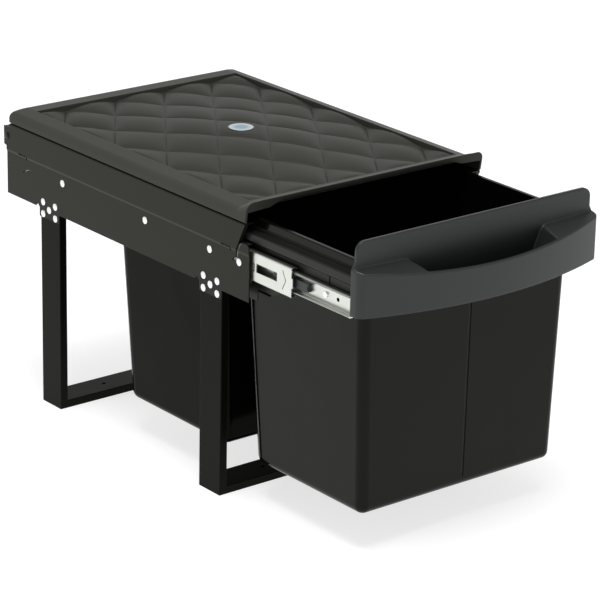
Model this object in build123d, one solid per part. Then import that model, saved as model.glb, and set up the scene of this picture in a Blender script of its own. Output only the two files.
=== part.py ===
from build123d import *
import os
from math import cos, radians, tan

# Pull-out bin frame: a steel frame that stands on two tube legs inside a cabinet, a lid on top,
# and a drawer on two ball-bearing slides that carries two bins behind a moulded front panel.
# Millimetres. X is to the right seen from the front, the front is -Y, Z is up. The origin is on
# the floor, in the middle of the four floor screws. Left pieces are at -X, right ones mirrored.
# The drawer stands where the photograph shows it, drawn out by DRAWN_OUT.

# Driving sizes of the whole
HALF_WIDTH = 171.0
PANEL_FRONT_Y = -230.0
PANEL_REAR_Y = 250.0
PANEL_TOP_Z = 337.0
SLIDE_DROP = 46.5
SLIDE_Z = PANEL_TOP_Z - SLIDE_DROP
DRAWN_OUT = 174.5
SHEET = 1.2
RUN_OUT = 5.0
FIT_GAP = 0.1

# Side panels: pressed steel, the upper band stepped out over the lower part at a crease
PANEL_HEIGHT = 88.6
PANEL_BOTTOM_Z = PANEL_TOP_Z - PANEL_HEIGHT
CREASE_DROP = 36.0
CREASE_Z = PANEL_TOP_Z - CREASE_DROP
CREASE_RISE = 3.0
CREASE_STEP = 1.0
PANEL_X = HALF_WIDTH - CREASE_STEP
PANEL_INNER_X = PANEL_X - SHEET
BAND_INNER_X = HALF_WIDTH - SHEET
BEND = 0.6
TOP_FLANGE = 12.0
EAR_DROP = 22.3
EAR_TOP_Z = PANEL_TOP_Z - EAR_DROP
EAR_ROUND = 3.0
BAND_SET_BACK = 7.0
BAND_SLANT = 16.5
BAND_FRONT_TOP_Y = PANEL_FRONT_Y + BAND_SET_BACK
BAND_FRONT_BOTTOM_Y = BAND_FRONT_TOP_Y + BAND_SLANT
BAND_REAR_Y = PANEL_REAR_Y - BAND_SET_BACK
SLOT_DROP = 33.8
SLOT_TOP_Z = PANEL_TOP_Z - SLOT_DROP
SLOT_DEPTH = 13.2
SLOT_BOTTOM_Z = SLOT_TOP_Z - SLOT_DEPTH
SLOT_WIDTH = 4.0
SLOT_HOOK = 6.0
FRONT_RETURN = 5.5
LIP_LENGTH = 5.0
LIP_DROP = 4.7
LIP_HEIGHT = 22.9
LIP_TOP_Z = PANEL_TOP_Z - LIP_DROP
LIP_BOTTOM_Z = LIP_TOP_Z - LIP_HEIGHT
LIP_END_Y = PANEL_REAR_Y + LIP_LENGTH
RELIEF_RISE = 3.8
RELIEF_Z = CREASE_Z + RELIEF_RISE
RELIEF_LENGTH = 17.0
RELIEF_DROP = 5.0
RELIEF_WIDTH = 1.6
FRONT_RELIEF_INSET = 33.0
REAR_RELIEF_INSET = 43.5
FRONT_RELIEF_Y = PANEL_FRONT_Y + FRONT_RELIEF_INSET
REAR_RELIEF_Y = PANEL_REAR_Y - REAR_RELIEF_INSET
REAR_HOOK_DROP = 16.2
REAR_HOOK_Z = RELIEF_Z - REAR_HOOK_DROP

# Slides: a 45 mm ball-bearing slide of three members
SLIDE_DEPTH = 12.7
SLIDE_SHEET = 1.2
SLIDE_BEND = 0.8
OUTER_HEIGHT = 45.5
OUTER_SET_BACK = 8.0
OUTER_FRONT_Y = PANEL_FRONT_Y + OUTER_SET_BACK
OUTER_LENGTH = 450.0
OUTER_FLANGE = 7.5
MIDDLE_HEIGHT = 34.4
MIDDLE_SET_BACK = 9.75
MIDDLE_FRONT_Y = OUTER_FRONT_Y + MIDDLE_SET_BACK - DRAWN_OUT / 2
MIDDLE_LENGTH = 440.0
MIDDLE_WEB_T = 2.4
MIDDLE_FLANGE_END_T = 9.0
INNER_HEIGHT = 24.9
INNER_LENGTH = 445.0
INNER_FLANGE_END_T = 6.6
LIP_RUN = 1.8
LIP_FALL = 1.5
TONGUE_LENGTH = 2.1
TONGUE_HALF = 5.5
WINDOW_SET_BACK = 24.8
WINDOW_LENGTH = 36.7
WINDOW_FRONT_Y = MIDDLE_FRONT_Y + WINDOW_SET_BACK
WINDOW_REAR_Y = WINDOW_FRONT_Y + WINDOW_LENGTH
WINDOW_BAR = 3.0
WINDOW_HALF = 5.0
STOP_SLOT_SET_BACK = 12.5
STOP_SLOT_Y = MIDDLE_FRONT_Y + STOP_SLOT_SET_BACK
STOP_SLOT_HALF = 11.0
STOP_SLOT_WIDTH = 1.2
STOP_SLOT_SWING = 2.4
INNER_NOTCH_HALF = 5.5
INNER_NOTCH_DEPTH = 2.5
SLIDE_SCREW_SHARES = (0.1025, 0.4175, 0.8175)
SPARE_HOLE_SET_BACK = 25.7
SPARE_HOLE_RADIUS = 2.3
SCREW_HEAD_RADIUS = 3.4
SCREW_HEAD_HEIGHT = 1.8
SCREW_SHANK_RADIUS = 2.0
SCREW_TAIL = 1.5

# Rivets
RIVET_SHANK_RADIUS = 2.0
RIVET_HEAD_RADIUS = 4.3
RIVET_HEAD_HEIGHT = 1.3
RIVET_HEAD_FLAT = 0.5
RIVET_TAIL_RADIUS = 2.9
RIVET_TAIL_HEIGHT = 1.6
SLIDE_RIVET_SHARES = (0.0222, 0.1416, 0.4144, 0.7853)

# Legs: rectangular tube, mitred at the floor, riveted behind the side panels' tabs
LEG_Y = 160.0
TUBE_WIDTH = 40.0
TUBE_DEPTH = 10.0
TUBE_ROUND = 1.0
LEG_INNER_X = PANEL_INNER_X - TUBE_DEPTH
LEG_GAP = 1.75
LEG_TOP_Z = SLIDE_Z - OUTER_HEIGHT / 2 - LEG_GAP
TAB_DROP = 10.9
TAB_BOTTOM_Z = PANEL_BOTTOM_Z - TAB_DROP
TAB_MARGIN = 0.7
NOTCH_RADIUS = 4.0
LEG_RIVET_RISE = 1.1
LEG_RIVET_Z = PANEL_BOTTOM_Z + LEG_RIVET_RISE
LEG_RIVET_DY = 12.7
LEG_RIVET_DZ = 7.4
FLOOR_HOLE_INSET = 66.6
FLOOR_HOLE_X = LEG_INNER_X - FLOOR_HOLE_INSET
FLOOR_HOLE_RADIUS = 2.5

# Ball cages and balls
OUTER_BALL_RADIUS = 2.0
OUTER_BALL_Z = 19.4
OUTER_BALL_T = 6.0
INNER_BALL_RADIUS = 1.6
INNER_BALL_Z = 14.2
INNER_BALL_T = 7.4
CAGE_SHEET = 0.6
CAGE_GAP = 0.3
OUTER_CAGE_SET_BACK = 112.0
OUTER_CAGE_FRONT_Y = OUTER_FRONT_Y + OUTER_CAGE_SET_BACK - DRAWN_OUT / 4
OUTER_CAGE_LENGTH = 210.0
INNER_CAGE_SET_BACK = 122.0
INNER_CAGE_FRONT_Y = OUTER_FRONT_Y + INNER_CAGE_SET_BACK - 3 * DRAWN_OUT / 4
INNER_CAGE_LENGTH = 200.0
CAGE_FLANGE_PAST_BALL = 2.4
POCKET_GAP = 0.15
BALLS_IN_ROW = 4

# Front panel with the bow-shaped grip
FACE_REAR_Y = PANEL_FRONT_Y - DRAWN_OUT
FACE_PLATE = 4.0
BOW_FRONT_Y = FACE_REAR_Y - FACE_PLATE
FACE_HEIGHT = 81.0
FACE_OVER_PANEL = 30.0
FACE_TOP_Z = PANEL_TOP_Z + FACE_OVER_PANEL
FACE_BOTTOM_Z = FACE_TOP_Z - FACE_HEIGHT
FACE_SHOULDER = 4.5
FACE_TOP_HALF = HALF_WIDTH - FACE_SHOULDER
FACE_TOP_ROUND = 11.0
BOW_END_DEPTH = 14.3
BOW_MID_DEPTH = 44.5
BOW_END_Y = FACE_REAR_Y - BOW_END_DEPTH
BOW_MID_Y = FACE_REAR_Y - BOW_MID_DEPTH
BOW_CORNER_ROUND = 10.0
BOW_EDGE_ROUND = 1.2
BOW_END_HEIGHT = 50.5
BOW_MID_HEIGHT = 39.0
BOW_END_TOP_Z = FACE_BOTTOM_Z + BOW_END_HEIGHT
BOW_MID_TOP_Z = FACE_BOTTOM_Z + BOW_MID_HEIGHT
SHELF_RISE = 2.5
BOW_WALL = 3.0
FACE_FLARE_Z = BOW_END_TOP_Z + SHELF_RISE + 2 * BOW_WALL
POCKET_INSET = 75.0
POCKET_HALF = HALF_WIDTH - POCKET_INSET
POCKET_SWOOP = 22.0
POCKET_FLOOR = 3.0
INNER_SET_BACK = 10.7
INNER_FRONT_Y = FACE_REAR_Y + INNER_SET_BACK
SPARE_HOLE_Y = INNER_FRONT_Y + SPARE_HOLE_SET_BACK

# Release levers inside the inner members
LEVER_SET_BACK = 101.8
LEVER_PIVOT_Y = INNER_FRONT_Y + LEVER_SET_BACK
LEVER_AHEAD = 31.0
LEVER_BEHIND = 28.0
LEVER_FRONT_Y = LEVER_PIVOT_Y - LEVER_AHEAD
LEVER_REAR_Y = LEVER_PIVOT_Y + LEVER_BEHIND
LEVER_HALF = 5.0
LEVER_HUB_RADIUS = 8.0
LEVER_THICKNESS = 4.6
LEVER_NOTCH_RADIUS = 3.0
LEVER_ROUND = 1.5
PIVOT_RADIUS = 2.0
PIVOT_CAP = 1.0

# Bins: tapered tubs whose rims sit on the drawer rails
BIN_TOP_GAP = 3.0
BIN_TOP_Z = PANEL_TOP_Z + BIN_TOP_GAP
BIN_FLOOR_GAP = 44.0
BIN_BOTTOM_Z = BIN_FLOOR_GAP
RIM_HEIGHT = 9.0
RIM_BOTTOM_Z = BIN_TOP_Z - RIM_HEIGHT
RIM_WIDTH = 2.8
RIM_ROUND = 1.2
RIM_LENGTH = 223.0
RIM_TO_RAIL = 2.9
RIM_TO_FACE = 2.5
BIN_SIDE_DRAFT = 9.2
BIN_FRONT_DRAFT = 3.8
BIN_REAR_DRAFT = 19.2
BIN_WALL = 2.2
BIN_FRONT_ROUND = 11.0
BIN_REAR_ROUND = 20.0
BIN_BASE_ROUND = 10.0
BIN_PITCH = 244.0
GROOVE_X = 5.0
GROOVE_WIDTH = 3.0
GROOVE_DEPTH = 0.8
GROOVE_DROP = 78.0
GROOVE_TIP = 6.0

# Drawer rails and braces
RAIL_X = PANEL_INNER_X - SLIDE_DEPTH
RAIL_INNER_X = RAIL_X - SHEET
RAIL_FRONT_Y = FACE_REAR_Y + SHEET
RAIL_LENGTH = 470.5
RAIL_REAR_Y = FACE_REAR_Y + RAIL_LENGTH
RIM_HALF = RAIL_INNER_X - RIM_TO_RAIL
RIM_FRONT_Y = FACE_REAR_Y + RIM_TO_FACE
RAIL_BELOW_SLIDE = 43.5
RAIL_BOTTOM_Z = SLIDE_Z - RAIL_BELOW_SLIDE
RAIL_BAND_STEP = 6.9
RAIL_BAND_X = RAIL_X + RAIL_BAND_STEP
RAIL_BELOW_RIM = 5.0
RAIL_TOP_Z = RIM_BOTTOM_Z - RAIL_BELOW_RIM
RAIL_BAND_HEIGHT = 9.5
RAIL_JOGGLE = 4.5
RAIL_JOGGLE_HIGH_Z = RAIL_TOP_Z - RAIL_BAND_HEIGHT
RAIL_JOGGLE_LOW_Z = RAIL_JOGGLE_HIGH_Z - RAIL_JOGGLE
UPSTAND_INSET = 0.1
UPSTAND_X = RIM_HALF - UPSTAND_INSET
RAIL_STEP_SET_BACK = 176.5
RAIL_STEP_LENGTH = 27.0
RAIL_STEP_HEIGHT = 14.2
RAIL_STEP_Y = FACE_REAR_Y + RAIL_STEP_SET_BACK
RAIL_STEP_Z = RAIL_BOTTOM_Z + RAIL_STEP_HEIGHT
RAIL_STEP_END_Y = RAIL_STEP_Y - RAIL_STEP_LENGTH
RAIL_SLOPE_LENGTH = 44.0
RAIL_SLOPE_HEIGHT = 19.8
RAIL_FRONT_BOTTOM_Y = RAIL_STEP_END_Y - RAIL_SLOPE_LENGTH
RAIL_FRONT_BOTTOM_Z = RAIL_STEP_Z + RAIL_SLOPE_HEIGHT
RAIL_FLANGE = 18.0
RAIL_FLANGE_BELOW = 1.0
RAIL_FLANGE_LOW_Z = FACE_BOTTOM_Z - RAIL_FLANGE_BELOW
RAIL_FLANGE_HEIGHT = 25.0
RAIL_FLANGE_HIGH_Z = RAIL_FLANGE_LOW_Z + RAIL_FLANGE_HEIGHT
RAIL_SLIT_SET_BACK = 51.5
RAIL_SLIT_Y = FACE_REAR_Y + RAIL_SLIT_SET_BACK
RAIL_SLIT_WIDTH = 2.0
RAIL_SLIT_HEIGHT = 9.0
RAIL_SLIT_LOW_Z = RAIL_JOGGLE_LOW_Z - RAIL_SLIT_HEIGHT
BRACE_ABOVE_RAIL = 15.0
BRACE_LOW_Z = RAIL_BOTTOM_Z + BRACE_ABOVE_RAIL
BRACE_HEIGHT = 30.0
BRACE_FLANGE = 10.0
BRACE_TAB = 18.0
BRACE_GAP = 1.6
FACE_SCREW_INSET = 9.1
FACE_SCREW_X = RAIL_X - FACE_SCREW_INSET
FACE_SCREW_LIFT = 5.0
FACE_SCREW_PITCH = 13.0
FACE_SCREW_DEPTH = 3.0

# Lid: a moulded cover that sits on the side panels' top flanges
LID_FRONT_BOTTOM_Y = BAND_FRONT_TOP_Y
LID_FRONT_SLANT = 3.4
LID_FRONT_TOP_Y = LID_FRONT_BOTTOM_Y - LID_FRONT_SLANT
LID_REAR_Y = BAND_REAR_Y
LID_SIDE_HEIGHT = 13.6
LID_SIDE_Z = PANEL_TOP_Z + LID_SIDE_HEIGHT
RIDGE_HEIGHT = 4.7
RIDGE_Z = LID_SIDE_Z + RIDGE_HEIGHT
LID_LIP_HEIGHT = 6.4
LID_LIP_Z = RIDGE_Z + LID_LIP_HEIGHT
LIP_SIDE_DROP = 0.5
LID_LIP_LENGTH = 20.4
LID_LIP_START_Y = LID_FRONT_TOP_Y + LID_LIP_LENGTH
LID_WALL = 2.5
LID_CORNER_ROUND = 9.0
LID_REAR_ROUND = 9.0
FIELD_SIDE_INSET = 21.5
FIELD_REAR_INSET = 27.0
FIELD_FRONT_INSET = 3.0
FIELD_DEPTH = 6.3
FIELD_HALF = HALF_WIDTH - FIELD_SIDE_INSET
FIELD_FRONT_Y = LID_LIP_START_Y + FIELD_FRONT_INSET
FIELD_REAR_Y = LID_REAR_Y - FIELD_REAR_INSET
FIELD_Z = RIDGE_Z - FIELD_DEPTH
DOME_HEIGHT = 11.8
DOME_TOP_Z = FIELD_Z + DOME_HEIGHT
VALANCE_FLAT_INSET = 53.0
VALANCE_STEP_INSET = 33.0
VALANCE_FLAT_HALF = HALF_WIDTH - VALANCE_FLAT_INSET
VALANCE_STEP_HALF = HALF_WIDTH - VALANCE_STEP_INSET
VALANCE_STEP_DEPTH = 10.3
VALANCE_END_DEPTH = 11.9
VALANCE_MID_DEPTH = 2.7
BOSS_RADIUS = 4.0
BOSS_INSET = 8.5
BOSS_HEIGHT = 14.0
BOSS_X = HALF_WIDTH - BOSS_INSET
BOSS_SHARES = (0.0923, 0.4785, 0.8863)
LID_SCREW_RADIUS = 1.5
LID_SCREW_DEPTH = 8.0
BADGE_RADIUS = 15.8
BADGE_SET_BACK = 235.2
BADGE_Y = LID_FRONT_TOP_Y + BADGE_SET_BACK
BADGE_THICKNESS = 1.2
BADGE_PROUD = 0.6
BADGE_GAP = 0.2

# Rear cross rail
CROSS_RAIL_DEPTH = 12.0
CROSS_RAIL_TAB = 14.0
CROSS_RIVET_INSET = 7.0


def in_xz(y):
    """Places a flat outline of (x, z) points at this y."""
    return lambda a, b: Vector(a, y, b)


def in_yz(x):
    """Places a flat outline of (y, z) points at this x."""
    return lambda a, b: Vector(x, a, b)


def in_xy(z):
    """Places a flat outline of (x, y) points at this z."""
    return lambda a, b: Vector(a, b, z)


def prism(points, place, run):
    """Extrudes a closed outline of straight edges by the vector run."""
    outline = Polyline(*[place(*point) for point in points], close=True)
    way = Vector(*run)
    return extrude(make_face(outline), amount=way.length, dir=way.normalized())


def block(low, high):
    """A box between two corners."""
    size = [b - a for a, b in zip(low, high)]
    middle = [(a + b) / 2 for a, b in zip(low, high)]
    return Pos(*middle) * Box(*size)


def rod(start, way, radius, length):
    """A round rod from a point along a direction."""
    return extrude(Plane(origin=start, z_dir=way) * Circle(radius), amount=length)


def side_line(points, offset):
    """Corners of a line drawn at an offset to the left of a line of points."""
    ways = []
    for a, b in zip(points, points[1:]):
        ways.append(Vector(b[0] - a[0], b[1] - a[1]).normalized())
    corners = []
    for i, point in enumerate(points):
        before = ways[max(i - 1, 0)]
        after = ways[min(i, len(ways) - 1)]
        left = Vector(-before.Y - after.Y, before.X + after.X)
        stretch = 2 * offset / left.length**2
        corners.append(Vector(point[0], point[1]) + left * stretch)
    return corners


def rounded_line(corners, radii, place):
    """Edges along the corners, each inner corner rounded by its radius."""
    edges = []
    start = corners[0]
    for i in range(1, len(corners) - 1):
        corner = corners[i]
        back = (corners[i - 1] - corner).normalized()
        ahead = (corners[i + 1] - corner).normalized()
        half_turn = radians(180.0 - back.get_angle(ahead)) / 2
        setback = radii[i] * tan(half_turn)
        first = corner + back * setback
        last = corner + ahead * setback
        bisector = (back + ahead).normalized()
        middle = corner + bisector * (radii[i] / cos(half_turn) - radii[i])
        edges.append(Line(place(start.X, start.Y), place(first.X, first.Y)))
        edges.append(ThreePointArc(*[place(p.X, p.Y) for p in (first, middle, last)]))
        start = last
    edges.append(Line(place(start.X, start.Y), place(corners[-1].X, corners[-1].Y)))
    return edges


def bent_sheet(points, thickness, bend, place, run):
    """A sheet bent along a line of points, its metal to the left of the line, extruded by run."""
    near = side_line(points, 0.0)
    far = side_line(points, thickness)
    near_radii = [bend]
    far_radii = [bend]
    for a, b, c in zip(points, points[1:], points[2:]):
        turn = (b[0] - a[0]) * (c[1] - b[1]) - (b[1] - a[1]) * (c[0] - b[0])
        near_radii.append(bend + thickness if turn > 0 else bend)
        far_radii.append(bend if turn > 0 else bend + thickness)
    near_edges = rounded_line(near, near_radii, place)
    far_edges = rounded_line(far, far_radii, place)
    ends = [
        Line(place(near[0].X, near[0].Y), place(far[0].X, far[0].Y)),
        Line(place(near[-1].X, near[-1].Y), place(far[-1].X, far[-1].Y)),
    ]
    way = Vector(*run)
    face = make_face(near_edges + far_edges + ends)
    return extrude(face, amount=way.length, dir=way.normalized())


def mirrored(shape):
    """The same piece on the right-hand side."""
    return shape.mirror(Plane.YZ)


def save(name, *solids):
    """Writes one node, as a single solid or a group of separate ones."""
    bodies = [solid for shape in solids for solid in shape.solids()]
    whole = bodies[0] if len(bodies) == 1 else Compound(children=bodies)
    export_step(whole, os.path.join("parts", name + ".step"))


def save_pair(name, *solids):
    """Writes the left node and its mirrored right one."""
    save(name + "_left", *solids)
    save(name + "_right", *[mirrored(shape) for shape in solids])


def leg_rivet_places():
    """The five rivets of each leg: one in the middle and four round it."""
    places = []
    for leg_y in (-LEG_Y, LEG_Y):
        places.append((leg_y, LEG_RIVET_Z))
        for side in (-1, 1):
            for level in (-1, 1):
                places.append((leg_y + side * LEG_RIVET_DY, LEG_RIVET_Z + level * LEG_RIVET_DZ))
    return places


def slide_rivet_places():
    """The rivets that hold the outer slide member to the side panel."""
    return [(OUTER_FRONT_Y + share * OUTER_LENGTH, SLIDE_Z) for share in SLIDE_RIVET_SHARES]


def slide_screw_places():
    """The screws that hold the inner slide member to the drawer rail."""
    return [(INNER_FRONT_Y + share * INNER_LENGTH, SLIDE_Z) for share in SLIDE_SCREW_SHARES]


def boss_places():
    """The lid's screw bosses over the side panels' top flanges."""
    length = LID_REAR_Y - LID_FRONT_BOTTOM_Y
    ys = [LID_FRONT_BOTTOM_Y + share * length for share in BOSS_SHARES]
    return [(side * BOSS_X, y) for side in (-1, 1) for y in ys]


def face_screw_places():
    """The screws that hold the front panel to the drawer rails."""
    low = FACE_BOTTOM_Z + FACE_SCREW_LIFT
    return [(side * FACE_SCREW_X, z) for side in (-1, 1) for z in (low, low + FACE_SCREW_PITCH)]


def rivet(x, y, z, grip, tail_height):
    """A domed rivet through sheets, its head against the plane x and its shank along +X."""
    profile = [
        (0.0, -RIVET_HEAD_HEIGHT),
        (RIVET_HEAD_RADIUS / 2, -RIVET_HEAD_HEIGHT),
        (RIVET_HEAD_RADIUS, -RIVET_HEAD_FLAT),
        (RIVET_HEAD_RADIUS, 0.0),
        (RIVET_SHANK_RADIUS, 0.0),
        (RIVET_SHANK_RADIUS, grip),
        (RIVET_TAIL_RADIUS, grip),
        (RIVET_TAIL_RADIUS, grip + tail_height),
        (0.0, grip + tail_height),
    ]
    outline = Polyline(*[(x + t, y, z + r) for r, t in profile], close=True)
    return revolve(make_face(outline), axis=Axis((x, y, z), (1, 0, 0)))


def drilled(shape, places, x_from, x_to, radius):
    """Drills holes along X at the (y, z) places."""
    for y, z in places:
        shape = shape - rod((x_from, y, z), (1, 0, 0), radius, x_to - x_from)
    return shape


def band_front_y(z):
    """Y of the upper band's slanted front edge at a height."""
    lean = (BAND_FRONT_BOTTOM_Y - BAND_FRONT_TOP_Y) / (PANEL_TOP_Z - SLOT_TOP_Z)
    return BAND_FRONT_BOTTOM_Y - lean * (z - SLOT_TOP_Z)


def panel_outline():
    """Side view of the panel: ear and slot in front, lip behind, a tab over each leg."""
    slot_growth = SLOT_WIDTH * (EAR_TOP_Z - SLOT_TOP_Z) / (PANEL_TOP_Z - SLOT_TOP_Z)
    ear_inner_y = band_front_y(EAR_TOP_Z) - SLOT_WIDTH - slot_growth
    points = [
        (PANEL_FRONT_Y, PANEL_BOTTOM_Z),
        (PANEL_FRONT_Y, EAR_TOP_Z - EAR_ROUND),
        (PANEL_FRONT_Y + EAR_ROUND, EAR_TOP_Z),
        (ear_inner_y, EAR_TOP_Z),
        (BAND_FRONT_BOTTOM_Y - SLOT_WIDTH, SLOT_TOP_Z),
        (BAND_FRONT_BOTTOM_Y - SLOT_WIDTH / 2, SLOT_BOTTOM_Z + SLOT_WIDTH),
        (BAND_FRONT_BOTTOM_Y, SLOT_BOTTOM_Z),
        (BAND_FRONT_BOTTOM_Y + SLOT_HOOK, SLOT_BOTTOM_Z),
        (BAND_FRONT_BOTTOM_Y + SLOT_HOOK, SLOT_BOTTOM_Z + SLOT_WIDTH / 2),
        (BAND_FRONT_BOTTOM_Y + SLOT_WIDTH / 4, SLOT_BOTTOM_Z + SLOT_WIDTH),
        (BAND_FRONT_BOTTOM_Y, SLOT_TOP_Z),
        (BAND_FRONT_TOP_Y, PANEL_TOP_Z),
        (BAND_REAR_Y, PANEL_TOP_Z),
        (BAND_REAR_Y, LIP_TOP_Z),
        (LIP_END_Y, LIP_TOP_Z),
        (LIP_END_Y, LIP_BOTTOM_Z),
        (PANEL_REAR_Y, LIP_BOTTOM_Z - SHEET),
        (PANEL_REAR_Y, PANEL_BOTTOM_Z),
    ]
    for leg_y in (LEG_Y, -LEG_Y):
        rear = leg_y + TUBE_WIDTH / 2 + TAB_MARGIN
        front = leg_y - TUBE_WIDTH / 2 - TAB_MARGIN
        points += [
            (rear + 2 * NOTCH_RADIUS, PANEL_BOTTOM_Z),
            (rear + NOTCH_RADIUS, PANEL_BOTTOM_Z + NOTCH_RADIUS),
            (rear, PANEL_BOTTOM_Z),
            (rear, TAB_BOTTOM_Z),
            (front, TAB_BOTTOM_Z),
            (front, PANEL_BOTTOM_Z),
        ]
    return points


def relief_slots():
    """The narrow L-shaped relief slots at the crease, and the hooked one at the rear."""
    x_from = -HALF_WIDTH - RUN_OUT
    run = (TOP_FLANGE, 0.0, 0.0)
    slots = []
    for y in (FRONT_RELIEF_Y, REAR_RELIEF_Y):
        line = [
            (y + RELIEF_LENGTH, RELIEF_Z),
            (y, RELIEF_Z),
            (y, RELIEF_Z - RELIEF_DROP),
        ]
        slots.append(bent_sheet(line, RELIEF_WIDTH, BEND, in_yz(x_from), run))
    hook = [
        (REAR_RELIEF_Y + RELIEF_LENGTH / 2, REAR_HOOK_Z - RELIEF_DROP),
        (REAR_RELIEF_Y, REAR_HOOK_Z),
        (REAR_RELIEF_Y - RELIEF_LENGTH / 2, REAR_HOOK_Z),
    ]
    slots.append(bent_sheet(hook, RELIEF_WIDTH, BEND, in_yz(x_from), run))
    return slots


def side_panel():
    """Pressed steel side: joggled upper band, flange under the lid, tabs over the legs."""
    length = LIP_END_Y - PANEL_FRONT_Y
    fold = [
        (-HALF_WIDTH + TOP_FLANGE, PANEL_TOP_Z),
        (-HALF_WIDTH, PANEL_TOP_Z),
        (-HALF_WIDTH, CREASE_Z + CREASE_RISE),
        (-PANEL_X, CREASE_Z),
        (-PANEL_X, TAB_BOTTOM_Z),
    ]
    blank = bent_sheet(fold, SHEET, BEND, in_xz(PANEL_FRONT_Y), (0.0, length, 0.0))
    depth = TOP_FLANGE + 2 * RUN_OUT
    outline = prism(panel_outline(), in_yz(-HALF_WIDTH - RUN_OUT), (depth, 0.0, 0.0))
    panel = blank & outline
    for slot in relief_slots():
        panel = panel - slot
    edge = [
        (band_front_y(PANEL_TOP_Z - SHEET), PANEL_TOP_Z - SHEET),
        (band_front_y(EAR_TOP_Z), EAR_TOP_Z),
    ]
    corners = side_line(edge, SHEET)
    front_return = prism(
        edge + [(corners[1].X, corners[1].Y), (corners[0].X, corners[0].Y)],
        in_yz(-HALF_WIDTH),
        (FRONT_RETURN, 0.0, 0.0),
    )
    panel = panel + front_return
    for x, y in boss_places():
        reach = SHEET + 2 * RUN_OUT
        start = (x, y, PANEL_TOP_Z - SHEET - RUN_OUT)
        panel = panel - rod(start, (0, 0, 1), LID_SCREW_RADIUS + FIT_GAP, reach)
    places = leg_rivet_places() + slide_rivet_places() + [cross_rivet_place()]
    radius = RIVET_SHANK_RADIUS + FIT_GAP
    return drilled(panel, places, -HALF_WIDTH - RUN_OUT, -LEG_INNER_X, radius)


def leg():
    """Left upright of a leg frame, a rectangular tube mitred at the floor, about y = 0."""
    def outline(inset, top):
        return [
            (-PANEL_INNER_X + inset, inset),
            (-LEG_INNER_X - inset, TUBE_DEPTH - inset),
            (-LEG_INNER_X - inset, top),
            (-PANEL_INNER_X + inset, top),
        ]
    half = TUBE_WIDTH / 2
    tube = prism(outline(0.0, LEG_TOP_Z), in_xz(-half), (0.0, TUBE_WIDTH, 0.0))
    tube = fillet(tube.edges().filter_by(Axis.Z), TUBE_ROUND)
    bore_width = TUBE_WIDTH - 2 * SHEET
    bore = prism(outline(SHEET, LEG_TOP_Z + RUN_OUT), in_xz(SHEET - half), (0.0, bore_width, 0.0))
    return tube - bore


def foot_bar():
    """Tube across the floor between the two uprights, with its two floor screw holes."""
    def outline(inset):
        return [
            (-PANEL_INNER_X + inset, inset),
            (PANEL_INNER_X - inset, inset),
            (LEG_INNER_X + inset, TUBE_DEPTH - inset),
            (-LEG_INNER_X - inset, TUBE_DEPTH - inset),
        ]
    half = TUBE_WIDTH / 2
    tube = prism(outline(0.0), in_xz(-half), (0.0, TUBE_WIDTH, 0.0))
    tube = fillet(tube.edges().filter_by(Axis.X), TUBE_ROUND)
    bore_width = TUBE_WIDTH - 2 * SHEET
    bar = tube - prism(outline(SHEET), in_xz(SHEET - half), (0.0, bore_width, 0.0))
    for side in (-1, 1):
        start = (side * FLOOR_HOLE_X, 0.0, -RUN_OUT)
        reach = TUBE_DEPTH + 2 * RUN_OUT
        bar = bar - rod(start, (0, 0, 1), FLOOR_HOLE_RADIUS, reach)
    return bar


def make_legs():
    """Both leg frames and their rivets."""
    shank_hole = RIVET_SHANK_RADIUS + FIT_GAP
    upright = leg()
    middle_x = (-PANEL_INNER_X - LEG_INNER_X) / 2
    for name, leg_y in (("front", -LEG_Y), ("rear", LEG_Y)):
        placed = Pos(0.0, leg_y, 0.0) * upright
        near = [place for place in leg_rivet_places() if place[0] * leg_y > 0]
        placed = drilled(placed, near, -HALF_WIDTH - RUN_OUT, middle_x, shank_hole)
        save_pair(name + "_leg", placed)
        save(name + "_foot_bar", Pos(0.0, leg_y, 0.0) * foot_bar())
    rivets = [
        rivet(-PANEL_X, y, z, 2 * SHEET, RIVET_TAIL_HEIGHT) for y, z in leg_rivet_places()
    ]
    save_pair("leg_rivets", *rivets)


def cross_rivet_place():
    """Where the rear cross rail is riveted to the side panel's band."""
    middle_z = (LIP_BOTTOM_Z + LIP_TOP_Z) / 2
    return (LIP_END_Y - CROSS_RIVET_INSET, middle_z)


def rear_cross_rail():
    """Channel across the rear, with a tab folded forward against each side panel."""
    fold = [
        (LIP_END_Y - CROSS_RAIL_DEPTH, LIP_TOP_Z),
        (LIP_END_Y, LIP_TOP_Z),
        (LIP_END_Y, LIP_BOTTOM_Z),
        (LIP_END_Y - CROSS_RAIL_DEPTH, LIP_BOTTOM_Z),
    ]
    fold.reverse()
    width = 2 * BAND_INNER_X
    rail = bent_sheet(fold, SHEET, BEND, in_yz(-BAND_INNER_X), (width, 0.0, 0.0))
    tab = block(
        (-BAND_INNER_X, LIP_END_Y - CROSS_RAIL_TAB, LIP_BOTTOM_Z + SHEET),
        (-BAND_INNER_X + SHEET, LIP_END_Y - SHEET / 2, LIP_TOP_Z - SHEET),
    )
    rail = rail + tab + mirrored(tab)
    radius = RIVET_SHANK_RADIUS + FIT_GAP
    return drilled(rail, [cross_rivet_place()], -HALF_WIDTH - RUN_OUT, HALF_WIDTH + RUN_OUT, radius)


def slide_x(t):
    """X of a depth t measured into the left slide from the side panel."""
    return t - PANEL_INNER_X


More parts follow.
